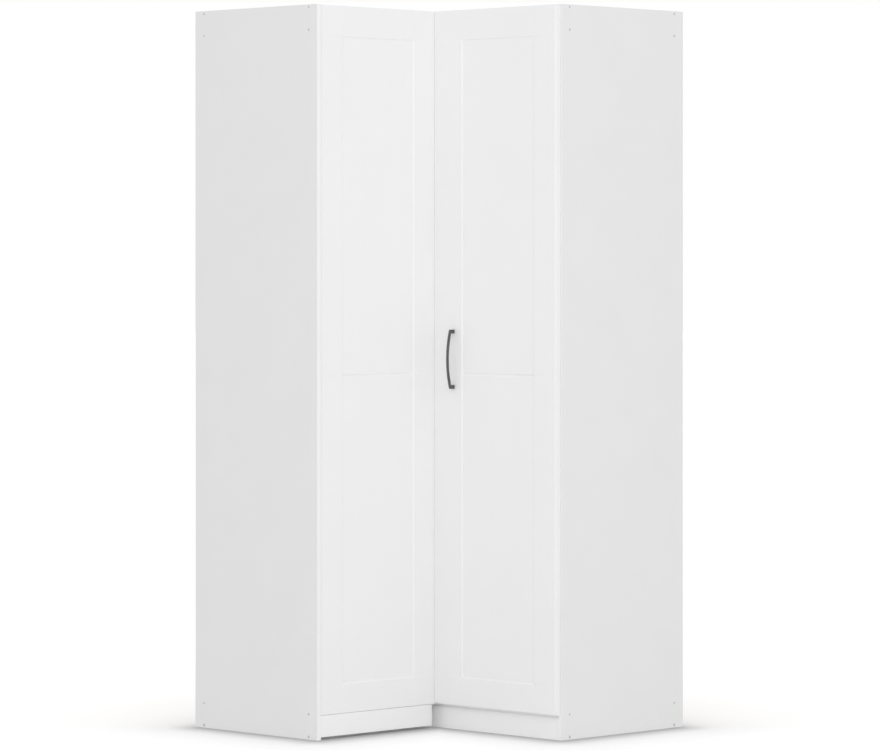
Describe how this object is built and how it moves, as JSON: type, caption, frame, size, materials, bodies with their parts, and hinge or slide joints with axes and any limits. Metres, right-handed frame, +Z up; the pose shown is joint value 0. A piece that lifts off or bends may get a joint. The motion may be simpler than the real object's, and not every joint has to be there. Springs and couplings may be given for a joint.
{
  "type": "corner wardrobe",
  "caption": "L-shaped corner wardrobe with a framed fixed front on one wing, a framed hinged door with a bow handle on the other, and a hat shelf and bent clothes rail inside.",
  "frame": {"origin": "on the floor, in the middle of the square plan that the two wings span", "axes": "+Z up; the room's walls stand at -X and +Y; the left wing's fixed front faces +X and the right wing's door faces -Y"},
  "size_m": [1.003, 1.003, 2.08],
  "materials": {
    "white_board": "white melamine-faced particle board",
    "door_film": "white satin film on milled fibreboard",
    "back_board": "thin hardboard, painted white on the inside",
    "rail_steel": "chromed steel tube",
    "hinge_steel": "nickel-plated pressed steel",
    "screw_steel": "zinc-plated steel",
    "handle_metal": "dark grey satin coating"
  },
  "bodies": {
    "carcass": {"bottom_board": "white_board", "clothes_rail": "rail_steel", "corner_post": "white_board", "front_screw_corner_lower": "screw_steel", "front_screw_corner_upper": "screw_steel", "front_screw_panel_lower": "screw_steel", "front_screw_panel_upper": "screw_steel", "hat_shelf": "white_board", "hinge_arm_lower": "hinge_steel", "hinge_arm_middle": "hinge_steel", "hinge_arm_upper": "hinge_steel", "left_back_panel": "back_board", "left_base_rail_back": "white_board", "left_base_rail_front": "white_board", "left_connector_base_back": "screw_steel", "left_connector_base_front": "screw_steel", "left_connector_foot_back": "screw_steel", "left_connector_foot_front": "screw_steel", "left_connector_head_back": "screw_steel", "left_connector_head_front": "screw_steel", "left_connector_top_back": "screw_steel", "left_connector_top_front": "screw_steel", "left_front": "door_film", "left_front_batten": "white_board", "left_plinth": "white_board", "left_plinth_packing": "white_board", "left_rail_socket": "rail_steel", "left_shelf_batten": "white_board", "left_side_panel": "white_board", "left_top_rail_back": "white_board", "left_top_rail_front": "white_board", "rail_hanger": "rail_steel", "rear_corner_post": "white_board", "right_back_panel": "back_board", "right_base_rail_back": "white_board", "right_base_rail_front": "white_board", "right_connector_base_back": "screw_steel", "right_connector_base_front": "screw_steel", "right_connector_foot_back": "screw_steel", "right_connector_foot_front": "screw_steel", "right_connector_head_back": "screw_steel", "right_connector_head_front": "screw_steel", "right_connector_top_back": "screw_steel", "right_connector_top_front": "screw_steel", "right_plinth": "white_board", "right_rail_socket": "rail_steel", "right_shelf_batten": "white_board", "right_side_panel": "white_board", "right_top_rail_back": "white_board", "right_top_rail_front": "white_board", "top_board": "white_board"},
    "door_leaf": {"handle": "handle_metal", "handle_screw_lower": "screw_steel", "handle_screw_upper": "screw_steel", "hinge_cup_lower": "hinge_steel", "hinge_cup_middle": "hinge_steel", "hinge_cup_upper": "hinge_steel", "right_door": "door_film"}
  },
  "joints": [
    {"name": "door_hinge", "type": "hinge", "parent": "carcass", "child": "door_leaf", "pos_m": [0.497, -0.0325, 1.0745], "axis": [0, 0, 1], "range_deg": [0, 110]}
  ]
}
